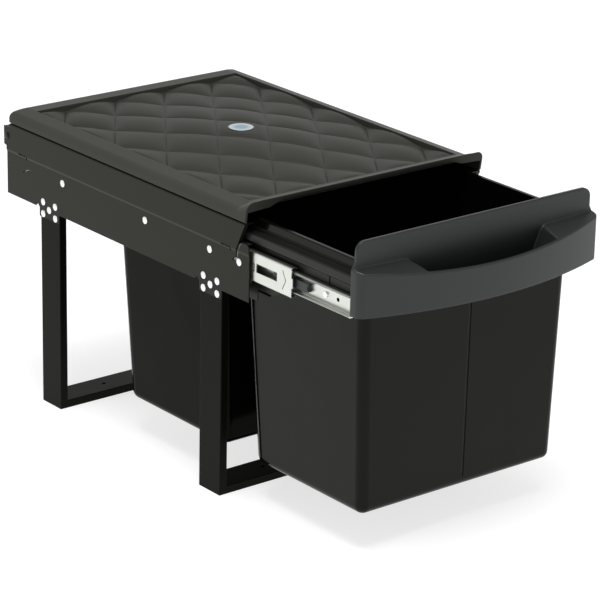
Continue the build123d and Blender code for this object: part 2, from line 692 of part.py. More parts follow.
def channel(height, web_t, flange_end_t, front_y, length, opens_in):
    """A slide member: a web with two flanges whose ends turn in over the balls."""
    half = height / 2
    way = 1 if opens_in else -1
    tip_t = flange_end_t + way * LIP_RUN
    fold = [
        (slide_x(tip_t), SLIDE_Z - half + LIP_FALL),
        (slide_x(flange_end_t), SLIDE_Z - half),
        (slide_x(web_t), SLIDE_Z - half),
        (slide_x(web_t), SLIDE_Z + half),
        (slide_x(flange_end_t), SLIDE_Z + half),
        (slide_x(tip_t), SLIDE_Z + half - LIP_FALL),
    ]
    if opens_in:
        fold.reverse()
    run = (0.0, length, 0.0)
    return bent_sheet(fold, SLIDE_SHEET, SLIDE_BEND, in_xz(front_y), run)


def outer_member():
    """Slide member fixed to the side panel."""
    member = channel(OUTER_HEIGHT, 0.0, OUTER_FLANGE, OUTER_FRONT_Y, OUTER_LENGTH, True)
    radius = RIVET_SHANK_RADIUS + FIT_GAP
    return drilled(member, slide_rivet_places(), slide_x(-RUN_OUT), slide_x(SLIDE_DEPTH / 2), radius)


def stop_slot():
    """The S-shaped slot behind the middle member's front end."""
    def wave(offset):
        swing = STOP_SLOT_SWING
        quarter = STOP_SLOT_HALF / 2
        heights = (STOP_SLOT_HALF, quarter, 0.0, -quarter, -STOP_SLOT_HALF)
        swings = (swing, 0.0, -swing, 0.0, swing)
        return [(STOP_SLOT_Y + s + offset, SLIDE_Z + h) for h, s in zip(heights, swings)]
    place = in_yz(slide_x(0.0))
    near = [place(*p) for p in wave(-STOP_SLOT_WIDTH / 2)]
    far = [place(*p) for p in wave(STOP_SLOT_WIDTH / 2)]
    outline = [Spline(*near), Line(near[-1], far[-1]), Spline(*far), Line(near[0], far[0])]
    return extrude(make_face(outline), amount=SLIDE_DEPTH / 2, dir=(1, 0, 0))


def middle_member():
    """Middle slide member, with the windows, the stop slot and the rounded tongue in front."""
    blank_front = MIDDLE_FRONT_Y - TONGUE_LENGTH
    member = channel(
        MIDDLE_HEIGHT, MIDDLE_WEB_T, MIDDLE_FLANGE_END_T, blank_front,
        MIDDLE_LENGTH + TONGUE_LENGTH, True,
    )
    for way in (-1, 1):
        low = SLIDE_Z + way * TONGUE_HALF
        high = SLIDE_Z + way * MIDDLE_HEIGHT
        member = member - block(
            (slide_x(0.0), blank_front - RUN_OUT, min(low, high)),
            (slide_x(SLIDE_DEPTH), MIDDLE_FRONT_Y, max(low, high)),
        )
    web_end = slide_x(SLIDE_DEPTH / 2)
    for front in (WINDOW_FRONT_Y, WINDOW_REAR_Y + WINDOW_BAR):
        window = block(
            (slide_x(0.0), front, SLIDE_Z - WINDOW_HALF),
            (web_end, front + WINDOW_LENGTH, SLIDE_Z + WINDOW_HALF),
        )
        member = member - window
    return member - stop_slot()


def inner_member():
    """Slide member screwed to the drawer rail, notched at its front end."""
    member = channel(
        INNER_HEIGHT, SLIDE_DEPTH, INNER_FLANGE_END_T, INNER_FRONT_Y, INNER_LENGTH, False
    )
    notch = block(
        (slide_x(0.0), INNER_FRONT_Y - RUN_OUT, SLIDE_Z - INNER_NOTCH_HALF),
        (slide_x(SLIDE_DEPTH + RUN_OUT), INNER_FRONT_Y + INNER_NOTCH_DEPTH, SLIDE_Z + INNER_NOTCH_HALF),
    )
    member = member - notch
    return drill_drawer_side(member)


def drill_drawer_side(shape):
    """Drills the inner member or the drawer rail for its screws, the spare hole and the pivot."""
    x_from = slide_x(0.0)
    x_to = -RAIL_INNER_X + RUN_OUT
    shape = drilled(shape, slide_screw_places(), x_from, x_to, SCREW_SHANK_RADIUS + FIT_GAP)
    shape = drilled(shape, [(SPARE_HOLE_Y, SLIDE_Z)], x_from, x_to, SPARE_HOLE_RADIUS)
    return drilled(shape, [(LEVER_PIVOT_Y, SLIDE_Z)], x_from, x_to, PIVOT_RADIUS + FIT_GAP)


def screw(start, way, head_radius, head_height, shank_radius, shank_length):
    """A pan head screw whose head's underside is at start, its shank along way."""
    shank = rod(start, way, shank_radius, shank_length)
    back = Vector(*way) * -1
    return shank + rod(start, tuple(back), head_radius, head_height)


def slide_screws():
    """Screws from inside the inner member into the drawer rail."""
    web_face = slide_x(SLIDE_DEPTH - SLIDE_SHEET)
    length = SLIDE_SHEET + SHEET + SCREW_TAIL
    return [
        screw((web_face, y, z), (1, 0, 0), SCREW_HEAD_RADIUS, SCREW_HEAD_HEIGHT,
              SCREW_SHANK_RADIUS, length)
        for y, z in slide_screw_places()
    ]


def ball_places(front_y, length):
    """Where the balls of one row sit along a cage."""
    pitch = length / BALLS_IN_ROW
    return [front_y + (i + 1 / 2) * pitch for i in range(BALLS_IN_ROW)]


def cage(spine_t, ball_t, ball_z, ball_radius, front_y, length):
    """Strip folded to a channel that keeps both rows of balls apart."""
    half = ball_z + CAGE_SHEET / 2
    end_t = ball_t + CAGE_FLANGE_PAST_BALL
    fold = [
        (slide_x(end_t), SLIDE_Z + half),
        (slide_x(spine_t), SLIDE_Z + half),
        (slide_x(spine_t), SLIDE_Z - half),
        (slide_x(end_t), SLIDE_Z - half),
    ]
    run = (0.0, length, 0.0)
    strip = bent_sheet(fold, CAGE_SHEET, CAGE_GAP, in_xz(front_y), run)
    for y in ball_places(front_y, length):
        start = (slide_x(ball_t), y, SLIDE_Z - half - RUN_OUT)
        reach = 2 * (half + RUN_OUT)
        strip = strip - rod(start, (0, 0, 1), ball_radius + POCKET_GAP, reach)
    return strip


def balls(ball_t, ball_z, ball_radius, front_y, length):
    """The balls of one cage, in two rows."""
    group = []
    for y in ball_places(front_y, length):
        for level in (-1, 1):
            group.append(Pos(slide_x(ball_t), y, SLIDE_Z + level * ball_z) * Sphere(ball_radius))
    return group


def make_bearings():
    """Ball cages and balls between the three slide members."""
    outer_spine_t = SLIDE_SHEET + CAGE_GAP
    inner_spine_t = MIDDLE_WEB_T + SLIDE_SHEET + CAGE_GAP
    save_pair("outer_ball_cage", cage(outer_spine_t, OUTER_BALL_T, OUTER_BALL_Z, OUTER_BALL_RADIUS,
                                      OUTER_CAGE_FRONT_Y, OUTER_CAGE_LENGTH))
    save_pair("inner_ball_cage", cage(inner_spine_t, INNER_BALL_T, INNER_BALL_Z, INNER_BALL_RADIUS,
                                      INNER_CAGE_FRONT_Y, INNER_CAGE_LENGTH))
    save_pair("outer_balls", *balls(OUTER_BALL_T, OUTER_BALL_Z, OUTER_BALL_RADIUS,
                                    OUTER_CAGE_FRONT_Y, OUTER_CAGE_LENGTH))
    save_pair("inner_balls", *balls(INNER_BALL_T, INNER_BALL_Z, INNER_BALL_RADIUS,
                                    INNER_CAGE_FRONT_Y, INNER_CAGE_LENGTH))


def lever_depth():
    """Depth of the release lever's outer face inside the slide."""
    return SLIDE_DEPTH - SLIDE_SHEET - CAGE_GAP - LEVER_THICKNESS


def release_lever():
    """Plastic lever in the inner member that lets the drawer off its slides."""
    bar = block(
        (slide_x(lever_depth()), LEVER_FRONT_Y, SLIDE_Z - LEVER_HALF),
        (slide_x(lever_depth() + LEVER_THICKNESS), LEVER_REAR_Y, SLIDE_Z + LEVER_HALF),
    )
    bar = fillet(bar.edges().filter_by(Axis.X), LEVER_ROUND)
    start = (slide_x(lever_depth()), LEVER_PIVOT_Y, SLIDE_Z)
    bar = bar + rod(start, (1, 0, 0), LEVER_HUB_RADIUS, LEVER_THICKNESS)
    notch_at = (slide_x(lever_depth()) - RUN_OUT, LEVER_FRONT_Y - LEVER_ROUND, SLIDE_Z)
    bar = bar - rod(notch_at, (1, 0, 0), LEVER_NOTCH_RADIUS, LEVER_THICKNESS + 2 * RUN_OUT)
    x_from = slide_x(lever_depth()) - RUN_OUT
    return drilled(bar, [(LEVER_PIVOT_Y, SLIDE_Z)], x_from, slide_x(SLIDE_DEPTH), PIVOT_RADIUS + FIT_GAP)


def lever_pivot():
    """Riveted pin on which the release lever turns."""
    cap_face = slide_x(lever_depth() - FIT_GAP)
    reach = SLIDE_DEPTH + SHEET - lever_depth() + FIT_GAP
    return screw((cap_face, LEVER_PIVOT_Y, SLIDE_Z), (1, 0, 0), PIVOT_RADIUS + PIVOT_CAP, PIVOT_CAP,
                 PIVOT_RADIUS, reach)


def rail_outline():
    """Side view of the drawer rail, stepped along its lower edge towards the front."""
    return [
        (RAIL_REAR_Y, RAIL_BOTTOM_Z),
        (RAIL_STEP_Y + SHEET, RAIL_BOTTOM_Z),
        (RAIL_STEP_Y, RAIL_BOTTOM_Z + RAIL_SLIT_WIDTH),
        (RAIL_STEP_Y, RAIL_STEP_Z),
        (RAIL_STEP_END_Y, RAIL_STEP_Z),
        (RAIL_FRONT_BOTTOM_Y, RAIL_FRONT_BOTTOM_Z),
        (RAIL_FRONT_Y, RAIL_FRONT_BOTTOM_Z),
        (RAIL_FRONT_Y, BIN_TOP_Z),
        (RAIL_REAR_Y, BIN_TOP_Z),
    ]


def drawer_rail():
    """Steel rail that carries the bins: web on the slide, joggled band, upstand under the rims."""
    length = RAIL_REAR_Y - RAIL_FRONT_Y
    fold = [
        (-UPSTAND_X, RIM_BOTTOM_Z),
        (-UPSTAND_X, RAIL_TOP_Z),
        (-RAIL_BAND_X, RAIL_TOP_Z),
        (-RAIL_BAND_X, RAIL_JOGGLE_HIGH_Z),
        (-RAIL_X, RAIL_JOGGLE_LOW_Z),
        (-RAIL_X, RAIL_BOTTOM_Z),
    ]
    blank = bent_sheet(fold, SHEET, BEND, in_xz(RAIL_FRONT_Y), (0.0, length, 0.0))
    depth = HALF_WIDTH - RAIL_FLANGE
    outline = prism(rail_outline(), in_yz(-HALF_WIDTH), (depth, 0.0, 0.0))
    flange = block(
        (-RAIL_X, FACE_REAR_Y, RAIL_FLANGE_LOW_Z),
        (-RAIL_X + RAIL_FLANGE, RAIL_FRONT_Y, RAIL_FLANGE_HIGH_Z),
    )
    corner = block(
        (-RAIL_X, FACE_REAR_Y, RAIL_FLANGE_LOW_Z),
        (-RAIL_INNER_X, RAIL_FRONT_Y + RUN_OUT, RAIL_FLANGE_HIGH_Z),
    )
    rail = (blank & outline) + flange + corner
    slit = block(
        (-HALF_WIDTH, RAIL_SLIT_Y, RAIL_SLIT_LOW_Z),
        (-LEG_INNER_X + TUBE_DEPTH, RAIL_SLIT_Y + RAIL_SLIT_WIDTH, RAIL_SLIT_LOW_Z + RAIL_SLIT_HEIGHT),
    )
    rail = rail - slit
    for x, z in face_screw_places():
        start = (x, FACE_REAR_Y - RUN_OUT, z)
        rail = rail - rod(start, (0, 1, 0), SCREW_SHANK_RADIUS + FIT_GAP, 2 * RUN_OUT)
    return drill_drawer_side(rail)


def brace(web_y, facing):
    """Angle strip across the drawer: its flange faces one way, its tabs on the rails the other."""
    fold = [
        (web_y, BRACE_LOW_Z),
        (web_y, BRACE_LOW_Z + BRACE_HEIGHT),
        (web_y + facing * BRACE_FLANGE, BRACE_LOW_Z + BRACE_HEIGHT),
    ]
    if facing > 0:
        fold.reverse()
    width = 2 * RAIL_INNER_X
    strip = bent_sheet(fold, SHEET, BEND, in_yz(-RAIL_INNER_X), (width, 0.0, 0.0))
    near = min(web_y, web_y - facing * BRACE_TAB)
    far = max(web_y, web_y - facing * BRACE_TAB) + SHEET / 2
    tab = block(
        (-RAIL_INNER_X, near, BRACE_LOW_Z),
        (-RAIL_INNER_X + SHEET, far, BRACE_LOW_Z + BRACE_HEIGHT - 2 * SHEET),
    )
    return strip + tab + mirrored(tab)


def bin_share(z):
    """How far up the bin a height is, 0 at its bottom and 1 at its top."""
    return (z - BIN_BOTTOM_Z) / (BIN_TOP_Z - BIN_BOTTOM_Z)


def bin_half(z):
    """Half the bin's outer width at a height."""
    return RIM_HALF - RIM_WIDTH - BIN_SIDE_DRAFT * (1 - bin_share(z))


def bin_front(z):
    """Outer front face of the front bin at a height."""
    return RIM_FRONT_Y + RIM_WIDTH + BIN_FRONT_DRAFT * (1 - bin_share(z))


def bin_rear(z):
    """Outer rear face of the front bin at a height."""
    return RIM_FRONT_Y + RIM_LENGTH - RIM_WIDTH - BIN_REAR_DRAFT * (1 - bin_share(z))


def rounded_plan(z, half, front, rear, front_round, rear_round):
    """Rectangle in plan with small front corners and larger rear ones."""
    outline = Polyline(*[(x, y, z) for x, y in (
        (-half, front), (half, front), (half, rear), (-half, rear))], close=True)
    face = make_face(outline)
    corners = face.vertices().sort_by(Axis.Y)
    face = fillet(corners[:2], front_round)
    corners = face.vertices().sort_by(Axis.Y)
    sharp = [v for v in corners if abs(abs(v.X) - half) < FIT_GAP and abs(v.Y - rear) < FIT_GAP]
    return fillet(sharp, rear_round)


def tub(inset, low_z, high_z):
    """The bin's tapered form, drawn in by inset on every side."""
    sections = []
    for z in (low_z, high_z):
        sections.append(rounded_plan(
            z, bin_half(z) - inset, bin_front(z) + inset, bin_rear(z) - inset,
            BIN_FRONT_ROUND - inset, BIN_REAR_ROUND - inset,
        ))
    return loft(sections, ruled=True)


def bin_groove():
    """Shallow upright groove in the bin's front face, pointed at its foot."""
    low_z = BIN_BOTTOM_Z + BIN_BASE_ROUND
    top_z = BIN_TOP_Z - GROOVE_DROP
    half = GROOVE_WIDTH / 2
    lean = (bin_front(top_z) - bin_front(low_z)) / (top_z - low_z)
    low_y = bin_front(low_z)
    face = [
        (GROOVE_X - half, low_z + GROOVE_TIP),
        (GROOVE_X, low_z),
        (GROOVE_X + half, low_z + GROOVE_TIP),
        (GROOVE_X + half, top_z),
        (GROOVE_X - half, top_z),
    ]
    outline = Polyline(*[(x, low_y + lean * (z - low_z) + GROOVE_DEPTH, z) for x, z in face],
                       close=True)
    return extrude(make_face(outline), amount=RUN_OUT, dir=(0, -1, 0))


def waste_bin():
    """Front bin: tapered tub with a thick rim, open at the top."""
    shell = tub(0.0, BIN_BOTTOM_Z, BIN_TOP_Z)
    base = shell.edges().group_by(Axis.Z)[0]
    shell = fillet(base, BIN_BASE_ROUND)
    hollow = tub(BIN_WALL, BIN_BOTTOM_Z + BIN_WALL, BIN_TOP_Z + RUN_OUT)
    hollow_base = hollow.edges().group_by(Axis.Z)[0]
    hollow = fillet(hollow_base, BIN_BASE_ROUND - BIN_WALL)
    rim_plan = rounded_plan(
        RIM_BOTTOM_Z, RIM_HALF, RIM_FRONT_Y, RIM_FRONT_Y + RIM_LENGTH,
        BIN_FRONT_ROUND + RIM_WIDTH, BIN_REAR_ROUND + RIM_WIDTH,
    )
    rim = extrude(rim_plan, amount=RIM_HEIGHT, dir=(0, 0, 1))
    rim = fillet(rim.edges().group_by(Axis.Z)[-1], RIM_ROUND)
    return shell + rim - hollow - bin_groove()


def bow_arc(inset):
    """Plan points of the bow's face: left end, middle and right end, drawn in by inset."""
    half = HALF_WIDTH - inset
    return (-half, BOW_END_Y + inset), (0.0, BOW_MID_Y + inset), (half, BOW_END_Y + inset)


def bow_plan(inset, rear_y, corner_round):
    """Plan of the bow between its curved face and a straight rear line, at the bottom level."""
    left, middle, right = bow_arc(inset)
    place = in_xy(FACE_BOTTOM_Z)
    edges = [
        ThreePointArc(place(*left), place(*middle), place(*right)),
        Line(place(*right), place(right[0], rear_y)),
        Line(place(right[0], rear_y), place(left[0], rear_y)),
        Line(place(left[0], rear_y), place(*left)),
    ]
    face = make_face(edges)
    corners = face.vertices().sort_by(Axis.Y)
    return fillet(corners[:2], corner_round)


def over_shelf(depth):
    """The space over the shelf and the bow's dipping top edge, lowered by depth."""
    slope = SHELF_RISE / (BOW_FRONT_Y - BOW_END_Y)
    place = in_xz(BOW_MID_Y)
    reach = BOW_FRONT_Y - BOW_MID_Y
    fall = depth + slope * (BOW_END_Y - BOW_MID_Y)
    end_z = BOW_END_TOP_Z - fall
    half = HALF_WIDTH + RUN_OUT
    high = FACE_TOP_Z + RUN_OUT
    edges = [
        ThreePointArc(place(-half, end_z), place(0.0, BOW_MID_TOP_Z - depth), place(half, end_z)),
        Line(place(half, end_z), place(half, high)),
        Line(place(half, high), place(-half, high)),
        Line(place(-half, high), place(-half, end_z)),
    ]
    way = Vector(0.0, 1.0, slope)
    return extrude(make_face(edges), amount=reach * way.length, dir=way.normalized())


def pocket():
    """The finger pocket behind the bow, its ends swooping down in an S."""
    inner_rear_y = BOW_FRONT_Y
    deep = bow_plan(BOW_WALL, inner_rear_y, BOW_CORNER_ROUND - BOW_WALL)
    block_up = extrude(deep, amount=FACE_TOP_Z - FACE_BOTTOM_Z, dir=(0, 0, 1))
    place = in_xz(BOW_MID_Y - RUN_OUT)
    floor_z = FACE_BOTTOM_Z + POCKET_FLOOR
    inner = POCKET_HALF - POCKET_SWOOP
    high = FACE_TOP_Z + RUN_OUT
    corners = [
        Vector(-POCKET_HALF - POCKET_SWOOP, high),
        Vector(-POCKET_HALF - POCKET_SWOOP, BOW_END_TOP_Z),
        Vector(-POCKET_HALF, BOW_END_TOP_Z),
        Vector(-inner, floor_z),
        Vector(inner, floor_z),
        Vector(POCKET_HALF, BOW_END_TOP_Z),
        Vector(POCKET_HALF + POCKET_SWOOP, BOW_END_TOP_Z),
        Vector(POCKET_HALF + POCKET_SWOOP, high),
    ]
    small = BOW_WALL
    radii = [0.0, small, POCKET_SWOOP / 2, POCKET_SWOOP / 2, POCKET_SWOOP / 2,
             POCKET_SWOOP / 2, small, 0.0]
    edges = rounded_line(corners, radii, place)
    edges.append(Line(place(corners[0].X, corners[0].Y), place(corners[-1].X, corners[-1].Y)))
    reach = BOW_FRONT_Y - BOW_MID_Y + RUN_OUT
    swoop = extrude(make_face(edges), amount=reach, dir=(0, 1, 0))
    return block_up & swoop


def end_hollows():
    """The two hollows under the shelves, open below, that keep the moulding thin."""
    low = FACE_BOTTOM_Z - RUN_OUT
    deep = bow_plan(BOW_WALL, BOW_FRONT_Y, BOW_CORNER_ROUND - BOW_WALL)
    full = Pos(0.0, 0.0, -RUN_OUT) * extrude(deep, amount=FACE_TOP_Z - FACE_BOTTOM_Z, dir=(0, 0, 1))
    full = full - over_shelf(BOW_WALL)
    inner = POCKET_HALF + BOW_WALL
    keep = []
    for side in (-1, 1):
        near = side * inner
        far = side * HALF_WIDTH
        keep.append(full & block(
            (min(near, far), BOW_MID_Y, low),
            (max(near, far), BOW_FRONT_Y, FACE_TOP_Z),
        ))
    return keep


def front_panel():
    """Moulded front: a plate with rounded top corners, two shelves, a pocket and the bow grip."""
    place = in_xz(FACE_REAR_Y)
    outline = [
        (-HALF_WIDTH, FACE_BOTTOM_Z),
        (HALF_WIDTH, FACE_BOTTOM_Z),
        (HALF_WIDTH, BOW_END_TOP_Z),
        (FACE_TOP_HALF, FACE_FLARE_Z),
        (FACE_TOP_HALF, FACE_TOP_Z),
        (-FACE_TOP_HALF, FACE_TOP_Z),
        (-FACE_TOP_HALF, FACE_FLARE_Z),
        (-HALF_WIDTH, BOW_END_TOP_Z),
    ]
    plate = prism(outline, place, (0.0, -FACE_PLATE, 0.0))
    top_corners = plate.edges().filter_by(Axis.Y).group_by(Axis.Z)[-1]
    plate = fillet(top_corners, FACE_TOP_ROUND)
    bow = extrude(bow_plan(0.0, FACE_REAR_Y, BOW_CORNER_ROUND),
                  amount=FACE_TOP_Z - FACE_BOTTOM_Z, dir=(0, 0, 1))
    bow = bow - over_shelf(0.0) - block(
        (-HALF_WIDTH - RUN_OUT, BOW_FRONT_Y, FACE_BOTTOM_Z - RUN_OUT),
        (HALF_WIDTH + RUN_OUT, FACE_REAR_Y + RUN_OUT, FACE_TOP_Z + RUN_OUT),
    )
    low_z = BOW_MID_TOP_Z - SHELF_RISE - BOW_END_DEPTH
    brow = [edge for edge in bow.edges()
            if edge.bounding_box().min.Z > low_z and edge.center().Y < BOW_FRONT_Y - BOW_EDGE_ROUND]
    bow = fillet(brow, BOW_EDGE_ROUND) - pocket()
    for hollow in end_hollows():
        bow = bow - hollow
    panel = plate + bow
    for x, z in face_screw_places():
        depth = RUN_OUT + FACE_SCREW_DEPTH + FIT_GAP
        start = (x, FACE_REAR_Y + RUN_OUT, z)
        panel = panel - rod(start, (0, -1, 0), SCREW_SHANK_RADIUS + FIT_GAP, depth)
    return panel


def front_panel_screws():
    """Screws through the rails' front flanges into the front panel."""
    return [
        screw((x, RAIL_FRONT_Y, z), (0, -1, 0), SCREW_HEAD_RADIUS, SCREW_HEAD_HEIGHT,
              SCREW_SHANK_RADIUS, SHEET + FACE_SCREW_DEPTH)
        for x, z in face_screw_places()
    ]


def lid_section(y, side_z, ridge_z, inset):
    """Cross-section of the lid at y: a skirt on each side and a border that rises inwards."""
    half = HALF_WIDTH - inset
    low = PANEL_TOP_Z - inset * RUN_OUT
    place = in_xz(y)
    outline = [
        (-half, low), (half, low), (half, side_z - inset), (FIELD_HALF, ridge_z - inset),
        (-FIELD_HALF, ridge_z - inset), (-half, side_z - inset),
    ]
    face = make_face(Polyline(*[place(*point) for point in outline], close=True))
    corners = [v for v in face.vertices() if abs(v.X) > half - FIT_GAP and v.Z > low + FIT_GAP]
    return fillet(corners, LID_CORNER_ROUND - inset)


def lid_form(inset):
    """The lid's outer form without its field, or the hollow under it."""
    over = RUN_OUT if inset > 0.0 else 0.0
    lip_side_z = LID_LIP_Z - LIP_SIDE_DROP
    front = lid_section(LID_FRONT_TOP_Y - over, lip_side_z, LID_LIP_Z, inset)
    start = lid_section(LID_LIP_START_Y, LID_SIDE_Z, RIDGE_Z, inset)
    flare = loft([front, start], ruled=True)
    rear_y = LID_REAR_Y - inset
    main = extrude(start, amount=rear_y - LID_LIP_START_Y, dir=(0, 1, 0))
    radius = LID_REAR_ROUND - inset
    centre = (-HALF_WIDTH - RUN_OUT, rear_y - radius, RIDGE_Z - inset - radius)
    corner = block(centre, (HALF_WIDTH + RUN_OUT, rear_y + RUN_OUT, RIDGE_Z + RUN_OUT))
    corner = corner - rod(centre, (1, 0, 0), radius, 2 * (HALF_WIDTH + RUN_OUT))
    return main - corner + flare


def lid_dome(lowered):
    """The domed field inside the border, drawn down by lowered, with a flat foot."""
    half = FIELD_HALF
    middle_y = (FIELD_FRONT_Y + FIELD_REAR_Y) / 2
    edge = FIELD_Z - lowered
    low = FIELD_Z - LID_WALL - lowered
    top = DOME_TOP_Z - lowered
    across = make_face([
        ThreePointArc((-half, FIELD_FRONT_Y, edge), (0.0, FIELD_FRONT_Y, top),
                      (half, FIELD_FRONT_Y, edge)),
        Line((half, FIELD_FRONT_Y, edge), (half, FIELD_FRONT_Y, low)),
        Line((half, FIELD_FRONT_Y, low), (-half, FIELD_FRONT_Y, low)),
        Line((-half, FIELD_FRONT_Y, low), (-half, FIELD_FRONT_Y, edge)),
    ])
    along = make_face([
        ThreePointArc((-half, FIELD_FRONT_Y, edge), (-half, middle_y, top),
                      (-half, FIELD_REAR_Y, edge)),
        Line((-half, FIELD_REAR_Y, edge), (-half, FIELD_REAR_Y, low)),
        Line((-half, FIELD_REAR_Y, low), (-half, FIELD_FRONT_Y, low)),
        Line((-half, FIELD_FRONT_Y, low), (-half, FIELD_FRONT_Y, edge)),
    ])
    across_body = extrude(across, amount=FIELD_REAR_Y - FIELD_FRONT_Y, dir=(0, 1, 0))
    along_body = extrude(along, amount=2 * half, dir=(1, 0, 0))
    return across_body & along_body


def field_tray(inset, low_z):
    """The block of the sunk field, or of the wall round it, down to low_z."""
    return block(
        (-FIELD_HALF - inset, FIELD_FRONT_Y - inset, low_z),
        (FIELD_HALF + inset, FIELD_REAR_Y + inset, LID_LIP_Z + inset),
    )


def lid_valance():
    """Edge that hangs from the raised front lip and deepens towards the corners."""
    end = HALF_WIDTH
    flat_z = LID_LIP_Z - VALANCE_MID_DEPTH
    step_z = LID_LIP_Z - VALANCE_STEP_DEPTH
    end_z = LID_LIP_Z - VALANCE_END_DEPTH
    outline = [
        (-end, end_z), (-VALANCE_STEP_HALF, step_z), (-VALANCE_FLAT_HALF, flat_z),
        (VALANCE_FLAT_HALF, flat_z), (VALANCE_STEP_HALF, step_z), (end, end_z),
        (end, LID_LIP_Z), (-end, LID_LIP_Z),
    ]
    slab = prism(outline, in_xz(LID_FRONT_TOP_Y), (0.0, LID_WALL, 0.0))
    return slab & lid_form(0.0)


def lid():
    """Moulded lid: skirt, rising border, sunk domed field and raised front lip, hollow below."""
    outer = lid_form(0.0)
    tray = field_tray(LID_WALL, FIELD_Z - LID_WALL) & outer
    form = outer - lid_form(LID_WALL) + tray - field_tray(0.0, FIELD_Z)
    front_cut = prism(
        [
            (LID_FRONT_BOTTOM_Y, PANEL_TOP_Z),
            (LID_FRONT_TOP_Y, LID_LIP_Z),
            (LID_FRONT_TOP_Y - RUN_OUT, LID_LIP_Z),
            (LID_FRONT_TOP_Y - RUN_OUT, PANEL_TOP_Z),
        ],
        in_yz(-HALF_WIDTH - RUN_OUT),
        (2 * (HALF_WIDTH + RUN_OUT), 0.0, 0.0),
    )
    form = form + lid_dome(0.0) - lid_dome(LID_WALL) + lid_valance() - front_cut
    for x, y in boss_places():
        form = form + rod((x, y, PANEL_TOP_Z), (0, 0, 1), BOSS_RADIUS, BOSS_HEIGHT)
        pilot = rod((x, y, PANEL_TOP_Z - RUN_OUT), (0, 0, 1),
                    LID_SCREW_RADIUS + FIT_GAP, RUN_OUT + LID_SCREW_DEPTH + FIT_GAP)
        form = form - pilot
    seat_z = DOME_TOP_Z + BADGE_PROUD - BADGE_THICKNESS
    seat = rod((0.0, BADGE_Y, seat_z), (0, 0, 1), BADGE_RADIUS + BADGE_GAP, RUN_OUT)
    return form - seat


def lid_badge():
    """Bare round badge let into the middle of the lid."""
    seat_z = DOME_TOP_Z + BADGE_PROUD - BADGE_THICKNESS
    disc = rod((0.0, BADGE_Y, seat_z), (0, 0, 1), BADGE_RADIUS, BADGE_THICKNESS)
    return chamfer(disc.edges().group_by(Axis.Z)[-1], BADGE_GAP)


def lid_screws():
    """Screws up through the side panels' top flanges into the lid's bosses."""
    return [
        screw((x, y, PANEL_TOP_Z - SHEET), (0, 0, 1), 2 * LID_SCREW_RADIUS, SCREW_HEAD_HEIGHT,
              LID_SCREW_RADIUS, SHEET + LID_SCREW_DEPTH)
        for x, y in boss_places()
    ]


def make_frame():
    """Everything that stands still."""
    save_pair("side_panel", side_panel())
    make_legs()
    save("rear_cross_rail", rear_cross_rail())
    y, z = cross_rivet_place()
    cross = rivet(-HALF_WIDTH, y, z, 2 * SHEET, RIVET_TAIL_HEIGHT)
    save("cross_rail_rivets", cross, mirrored(cross))
    save_pair("slide_outer", outer_member())
    flush = CAGE_GAP / 2
    rivets = [rivet(-PANEL_X, y, z, SHEET + SLIDE_SHEET, flush) for y, z in slide_rivet_places()]
    save_pair("slide_rivets", *rivets)
    save("lid", lid())
    save("lid_badge", lid_badge())
    save("lid_screws", *lid_screws())


def make_drawer():
    """Everything that slides out."""
    save_pair("slide_middle", middle_member())
    save_pair("slide_inner", inner_member())
    save_pair("slide_screws", *slide_screws())
    save_pair("release_lever", release_lever())
    save_pair("lever_pivot", lever_pivot())
    save_pair("drawer_rail", drawer_rail())
    rear_face = bin_rear(BRACE_LOW_Z + BRACE_HEIGHT)
    save("drawer_mid_brace", brace(rear_face + BRACE_GAP, 1))
    save("drawer_rear_brace", brace(rear_face + BIN_PITCH + BRACE_GAP, 1))
    front = waste_bin()
    save("front_bin", front)
    save("rear_bin", Pos(0.0, BIN_PITCH, 0.0) * front)
    save("front_panel", front_panel())
    save("front_panel_screws", *front_panel_screws())


os.makedirs("parts", exist_ok=True)
make_frame()
make_bearings()
make_drawer()
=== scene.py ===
"""Looks of the pull-out bin frame: materials, quilted lid field, floor, light and camera.
Metres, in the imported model's frame: X to the right seen from the front, front -Y, Z up."""
import math

import bmesh
import bpy
from mathutils import Matrix, Vector


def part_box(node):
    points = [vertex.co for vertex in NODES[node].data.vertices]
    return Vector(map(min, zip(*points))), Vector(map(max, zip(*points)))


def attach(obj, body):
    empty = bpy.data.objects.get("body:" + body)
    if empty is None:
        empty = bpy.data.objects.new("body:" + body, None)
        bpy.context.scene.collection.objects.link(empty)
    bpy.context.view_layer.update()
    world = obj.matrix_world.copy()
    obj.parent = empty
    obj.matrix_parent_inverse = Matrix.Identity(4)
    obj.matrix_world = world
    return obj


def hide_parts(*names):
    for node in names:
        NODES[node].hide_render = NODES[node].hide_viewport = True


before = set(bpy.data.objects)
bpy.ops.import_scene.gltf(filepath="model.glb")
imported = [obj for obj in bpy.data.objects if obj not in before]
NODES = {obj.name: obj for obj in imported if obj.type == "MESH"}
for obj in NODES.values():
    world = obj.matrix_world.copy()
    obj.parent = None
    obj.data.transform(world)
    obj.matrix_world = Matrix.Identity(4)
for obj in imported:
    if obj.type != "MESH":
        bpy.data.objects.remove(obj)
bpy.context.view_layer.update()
LID_LOW, LID_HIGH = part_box("lid")
BADGE_LOW, BADGE_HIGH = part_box("lid_badge")
BADGE_CENTRE = (BADGE_LOW + BADGE_HIGH) / 2


# Shader helpers
def new_material(name, gloss=0.5, cast=(1.0, 1.0, 1.0)):
    """A material with its shader and output; gloss is the specular level and cast its colour."""
    material = bpy.data.materials.new(name)
    material.use_nodes = True
    tree = material.node_tree
    tree.nodes.clear()
    output = tree.nodes.new("ShaderNodeOutputMaterial")
    shader = tree.nodes.new("ShaderNodeBsdfPrincipled")
    shader.inputs["Specular IOR Level"].default_value = gloss
    shader.inputs["Specular Tint"].default_value = (*cast, 1.0)
    tree.links.new(shader.outputs["BSDF"], output.inputs["Surface"])
    return material, tree, shader


